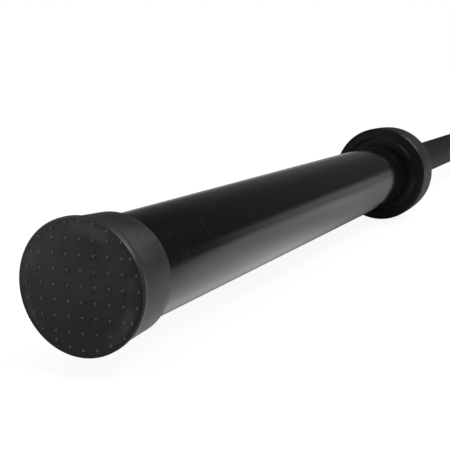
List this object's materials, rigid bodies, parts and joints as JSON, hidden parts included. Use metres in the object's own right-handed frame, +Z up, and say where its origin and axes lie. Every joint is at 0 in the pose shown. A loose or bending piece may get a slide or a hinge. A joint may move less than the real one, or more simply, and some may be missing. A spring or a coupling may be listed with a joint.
{
  "type": "olympic barbell",
  "caption": "Long steel bar with a free-turning sleeve on each end, round collars that stop the plates, knurled grip and push-on rubber end caps.",
  "frame": {"origin": "middle of the bar, on its axis", "axes": "+X along the bar to the right sleeve, +Z up"},
  "size_m": [2.241, 0.078, 0.078],
  "materials": {
    "black_shaft": "satin",
    "gloss_black": "gloss",
    "satin_black": "satin",
    "cap_rubber": "matte",
    "seal_rubber": "matte",
    "bronze": "satin",
    "bearing_steel": "polished",
    "cage_steel": "satin",
    "plain_steel": "satin",
    "spring_steel": "satin"
  },
  "bodies": {
    "shaft": {"shaft": "black_shaft", "shaft_snap_ring_left": "spring_steel", "shaft_snap_ring_right": "spring_steel"},
    "sleeve_left": {"sleeve_tube_left": "gloss_black", "collar_left": "satin_black", "dust_seal_left": "seal_rubber", "inner_thrust_washer_left": "bearing_steel", "inner_bushing_left": "bronze", "inner_bearing_shell_left": "bearing_steel", "spacer_tube_left": "plain_steel", "outer_bearing_shell_left": "bearing_steel", "outer_bushing_left": "bronze", "outer_thrust_washer_left": "bearing_steel", "end_cover_left": "plain_steel", "cover_snap_ring_left": "spring_steel"},
    "inner_cage_left": {"inner_bearing_cage_left": "cage_steel", "inner_needles_left": "bearing_steel"},
    "outer_cage_left": {"outer_bearing_cage_left": "cage_steel", "outer_needles_left": "bearing_steel"},
    "cap_left": {"rubber_end_cap_left": "cap_rubber"},
    "sleeve_right": {"sleeve_tube_right": "gloss_black", "collar_right": "satin_black", "dust_seal_right": "seal_rubber", "inner_thrust_washer_right": "bearing_steel", "inner_bushing_right": "bronze", "inner_bearing_shell_right": "bearing_steel", "spacer_tube_right": "plain_steel", "outer_bearing_shell_right": "bearing_steel", "outer_bushing_right": "bronze", "outer_thrust_washer_right": "bearing_steel", "end_cover_right": "plain_steel", "cover_snap_ring_right": "spring_steel"},
    "inner_cage_right": {"inner_bearing_cage_right": "cage_steel", "inner_needles_right": "bearing_steel"},
    "outer_cage_right": {"outer_bearing_cage_right": "cage_steel", "outer_needles_right": "bearing_steel"},
    "cap_right": {"rubber_end_cap_right": "cap_rubber"}
  },
  "joints": [
    {"name": "sleeve_left_spin", "type": "hinge", "parent": "shaft", "child": "sleeve_left", "pos_m": [-0.9, 0, 0], "axis": [-1, 0, 0], "continuous": true},
    {"name": "inner_cage_left_spin", "type": "hinge", "parent": "shaft", "child": "inner_cage_left", "pos_m": [-0.7, 0, 0], "axis": [-1, 0, 0], "continuous": true},
    {"name": "outer_cage_left_spin", "type": "hinge", "parent": "shaft", "child": "outer_cage_left", "pos_m": [-1.04, 0, 0], "axis": [-1, 0, 0], "continuous": true},
    {"name": "cap_left_pull", "type": "slide", "parent": "sleeve_left", "child": "cap_left", "axis": [-1, 0, 0], "range_m": [0, 0.15]},
    {"name": "sleeve_right_spin", "type": "hinge", "parent": "shaft", "child": "sleeve_right", "pos_m": [0.9, 0, 0], "axis": [1, 0, 0], "continuous": true},
    {"name": "inner_cage_right_spin", "type": "hinge", "parent": "shaft", "child": "inner_cage_right", "pos_m": [0.7, 0, 0], "axis": [1, 0, 0], "continuous": true},
    {"name": "outer_cage_right_spin", "type": "hinge", "parent": "shaft", "child": "outer_cage_right", "pos_m": [1.04, 0, 0], "axis": [1, 0, 0], "continuous": true},
    {"name": "cap_right_pull", "type": "slide", "parent": "sleeve_right", "child": "cap_right", "axis": [1, 0, 0], "range_m": [0, 0.15]}
  ],
  "couplings": [
    {"joint": "inner_cage_left_spin", "follows": "sleeve_left_spin", "ratio": 0.54098},
    {"joint": "outer_cage_left_spin", "follows": "sleeve_left_spin", "ratio": 0.54098},
    {"joint": "inner_cage_right_spin", "follows": "sleeve_right_spin", "ratio": 0.54098},
    {"joint": "outer_cage_right_spin", "follows": "sleeve_right_spin", "ratio": 0.54098}
  ]
}
